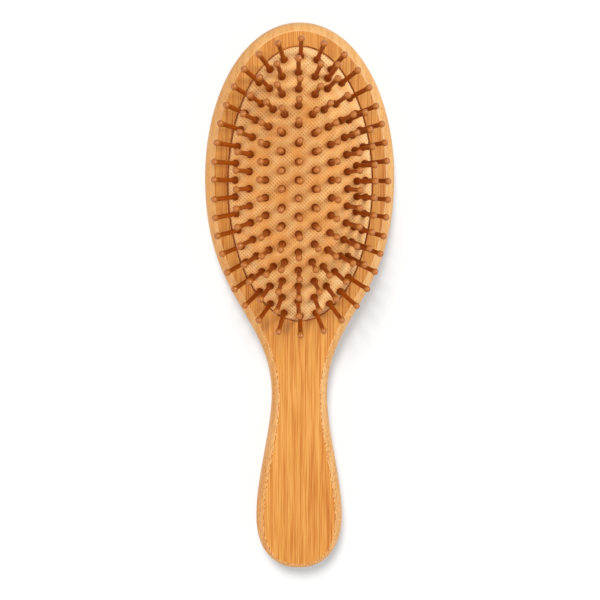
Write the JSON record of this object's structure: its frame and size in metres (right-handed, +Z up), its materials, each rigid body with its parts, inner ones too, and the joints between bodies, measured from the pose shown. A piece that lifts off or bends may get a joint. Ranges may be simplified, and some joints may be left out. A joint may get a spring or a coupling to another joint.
{
  "type": "paddle brush",
  "caption": "Oval wooden cushion hairbrush with a laminated bamboo board, a springy cloth-faced air cushion and ball-tipped wooden pins.",
  "frame": {"origin": "on the flat back, midway along and across the brush, which lies on its back with the pins up", "axes": "+X to the right seen from the pin side, +Y along the brush towards the crown of the head, +Z up out of the face along the pins"},
  "size_m": [0.0834, 0.246, 0.038],
  "materials": {
    "bamboo": "satin laminated bamboo, fine lengthwise fibres, oiled",
    "cushion_cloth": "cream dotted twill cloth bonded to natural rubber",
    "pin_wood": "polished reddish brown turned wood"
  },
  "bodies": {
    "board": {"paddle_body": "bamboo", "cushion_pad": "cushion_cloth"},
    "centre_line": {"centre_line_pin_01": "pin_wood", "centre_line_pin_02": "pin_wood", "centre_line_pin_03": "pin_wood", "centre_line_pin_04": "pin_wood", "centre_line_pin_05": "pin_wood", "centre_line_pin_06": "pin_wood", "centre_line_pin_07": "pin_wood", "centre_line_pin_08": "pin_wood"},
    "inner_ring": {"inner_ring_pin_01": "pin_wood", "inner_ring_pin_02": "pin_wood", "inner_ring_pin_03": "pin_wood", "inner_ring_pin_04": "pin_wood", "inner_ring_pin_05": "pin_wood", "inner_ring_pin_06": "pin_wood", "inner_ring_pin_07": "pin_wood", "inner_ring_pin_08": "pin_wood", "inner_ring_pin_09": "pin_wood", "inner_ring_pin_10": "pin_wood", "inner_ring_pin_11": "pin_wood", "inner_ring_pin_12": "pin_wood", "inner_ring_pin_13": "pin_wood", "inner_ring_pin_14": "pin_wood", "inner_ring_pin_15": "pin_wood", "inner_ring_pin_16": "pin_wood", "inner_ring_pin_17": "pin_wood", "inner_ring_pin_18": "pin_wood", "inner_ring_pin_19": "pin_wood", "inner_ring_pin_20": "pin_wood"},
    "second_ring": {"second_ring_pin_01": "pin_wood", "second_ring_pin_02": "pin_wood", "second_ring_pin_03": "pin_wood", "second_ring_pin_04": "pin_wood", "second_ring_pin_05": "pin_wood", "second_ring_pin_06": "pin_wood", "second_ring_pin_07": "pin_wood", "second_ring_pin_08": "pin_wood", "second_ring_pin_09": "pin_wood", "second_ring_pin_10": "pin_wood", "second_ring_pin_11": "pin_wood", "second_ring_pin_12": "pin_wood", "second_ring_pin_13": "pin_wood", "second_ring_pin_14": "pin_wood", "second_ring_pin_15": "pin_wood", "second_ring_pin_16": "pin_wood", "second_ring_pin_17": "pin_wood", "second_ring_pin_18": "pin_wood", "second_ring_pin_19": "pin_wood", "second_ring_pin_20": "pin_wood", "second_ring_pin_21": "pin_wood", "second_ring_pin_22": "pin_wood", "second_ring_pin_23": "pin_wood", "second_ring_pin_24": "pin_wood", "second_ring_pin_25": "pin_wood", "second_ring_pin_26": "pin_wood"},
    "third_ring": {"third_ring_pins": "pin_wood"},
    "side_row": {"side_row_pins": "pin_wood"},
    "outer_ring": {"outer_ring_pins": "pin_wood"}
  },
  "joints": [
    {"name": "centre_line_give", "type": "slide", "parent": "board", "child": "centre_line", "axis": [0, 0, -1], "range_m": [0, 0.004], "stiffness_N_per_m": 2500, "deforming": ["cushion_pad"]},
    {"name": "inner_ring_give", "type": "slide", "parent": "board", "child": "inner_ring", "axis": [0, 0, -1], "range_m": [0, 0.00384]},
    {"name": "second_ring_give", "type": "slide", "parent": "board", "child": "second_ring", "axis": [0, 0, -1], "range_m": [0, 0.00341]},
    {"name": "third_ring_give", "type": "slide", "parent": "board", "child": "third_ring", "axis": [0, 0, -1], "range_m": [0, 0.00256]},
    {"name": "side_row_give", "type": "slide", "parent": "board", "child": "side_row", "axis": [0, 0, -1], "range_m": [0, 0.00226]},
    {"name": "outer_ring_give", "type": "slide", "parent": "board", "child": "outer_ring", "axis": [0, 0, -1], "range_m": [0, 0.00105]}
  ],
  "couplings": [
    {"joint": "inner_ring_give", "follows": "centre_line_give", "ratio": 0.958},
    {"joint": "second_ring_give", "follows": "centre_line_give", "ratio": 0.849},
    {"joint": "third_ring_give", "follows": "centre_line_give", "ratio": 0.637},
    {"joint": "side_row_give", "follows": "centre_line_give", "ratio": 0.563},
    {"joint": "outer_ring_give", "follows": "centre_line_give", "ratio": 0.261}
  ]
}
